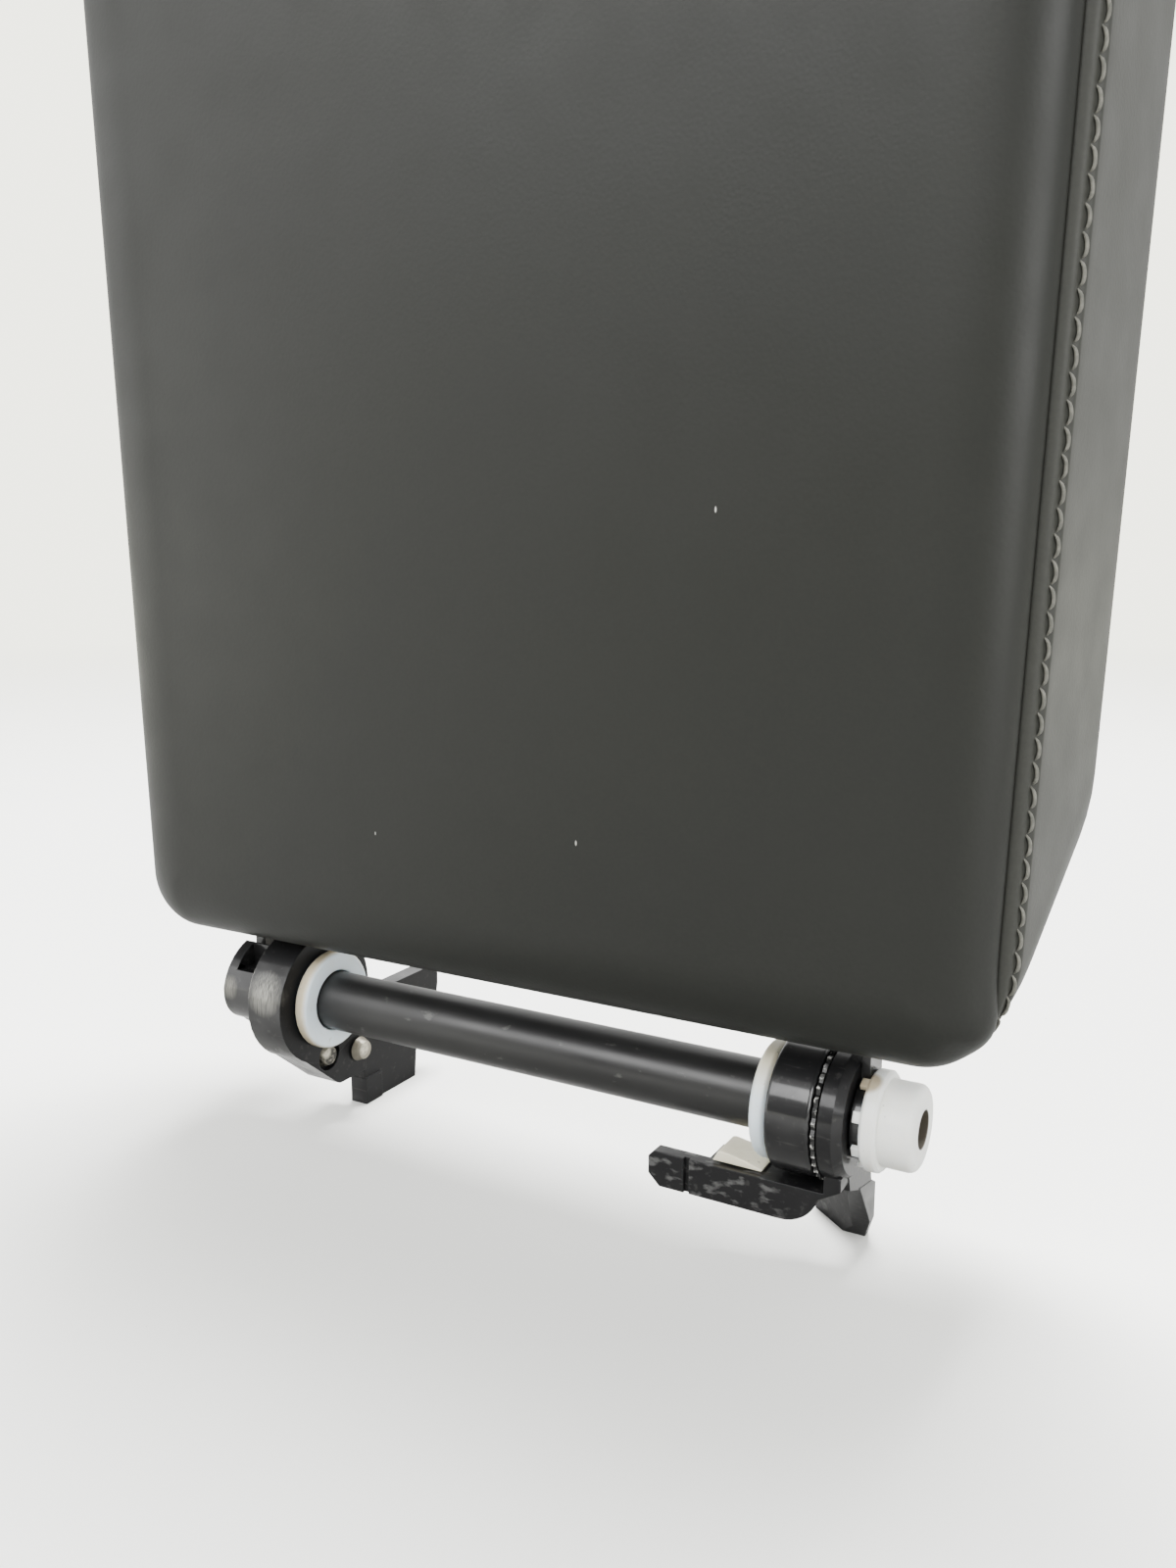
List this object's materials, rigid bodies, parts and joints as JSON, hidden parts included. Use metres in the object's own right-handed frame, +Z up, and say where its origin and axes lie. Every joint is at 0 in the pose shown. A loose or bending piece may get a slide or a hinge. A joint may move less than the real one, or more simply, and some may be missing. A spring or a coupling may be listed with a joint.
{
  "type": "center console armrest",
  "caption": "Padded vehicle console lid armrest in stitched charcoal leather, standing open on its friction hinge with tube, nylon bushes and two bracket feet.",
  "frame": {"origin": "middle of the bounding box in X and Y, on the plane of the hinge brackets' feet", "axes": "+X along the hinge to the right of someone facing the cushion, +Y away from that viewer, the way the lid closes, +Z up to the lid's free end"},
  "size_m": [0.2294, 0.068, 0.3532],
  "materials": {
    "charcoal_leather": "fine-grained charcoal leather, low sheen",
    "grey_leather": "fine-grained leather, a little lighter",
    "foam": "open-cell foam under the leather",
    "moulded_plastic": "black moulded plastic, matt",
    "cast_black": "gloss black coating over a casting, worn",
    "satin_black_tube": "satin black, scuffed",
    "white_nylon": "milky white nylon",
    "cream_nylon": "cream nylon, glossy",
    "zinc_steel": "zinc-plated steel, dulled",
    "rubber": "matt black rubber"
  },
  "bodies": {
    "hinge_base": {"left_bracket": "cast_black", "right_bracket": "cast_black", "ratchet_ring": "cast_black", "serrated_washer": "zinc_steel", "hinge_tube": "satin_black_tube", "left_bush": "white_nylon", "right_bush": "white_nylon", "bracket_screw_front": "zinc_steel", "bracket_screw_back": "zinc_steel", "lever_pad": "cream_nylon", "thrust_washer": "zinc_steel"},
    "lid": {"left_arm": "cast_black", "right_arm": "cast_black", "left_arm_screw_lower": "zinc_steel", "left_arm_screw_upper": "zinc_steel", "right_arm_screw_lower": "zinc_steel", "right_arm_screw_upper": "zinc_steel", "pivot_rod": "zinc_steel", "disc_spring": "zinc_steel", "friction_nut": "white_nylon", "lid_base": "moulded_plastic", "foam_pad": "foam", "top_cover": "charcoal_leather", "side_cover": "grey_leather", "bottom_panel": "moulded_plastic", "panel_screw_1": "zinc_steel", "panel_screw_2": "zinc_steel", "panel_screw_3": "zinc_steel", "panel_screw_4": "zinc_steel", "bumper_left": "rubber", "bumper_right": "rubber"}
  },
  "joints": [
    {"name": "lid_hinge", "type": "hinge", "parent": "hinge_base", "child": "lid", "pos_m": [0, -0.01255, 0.0337], "axis": [-1, 0, 0], "range_deg": [0, 90]}
  ]
}
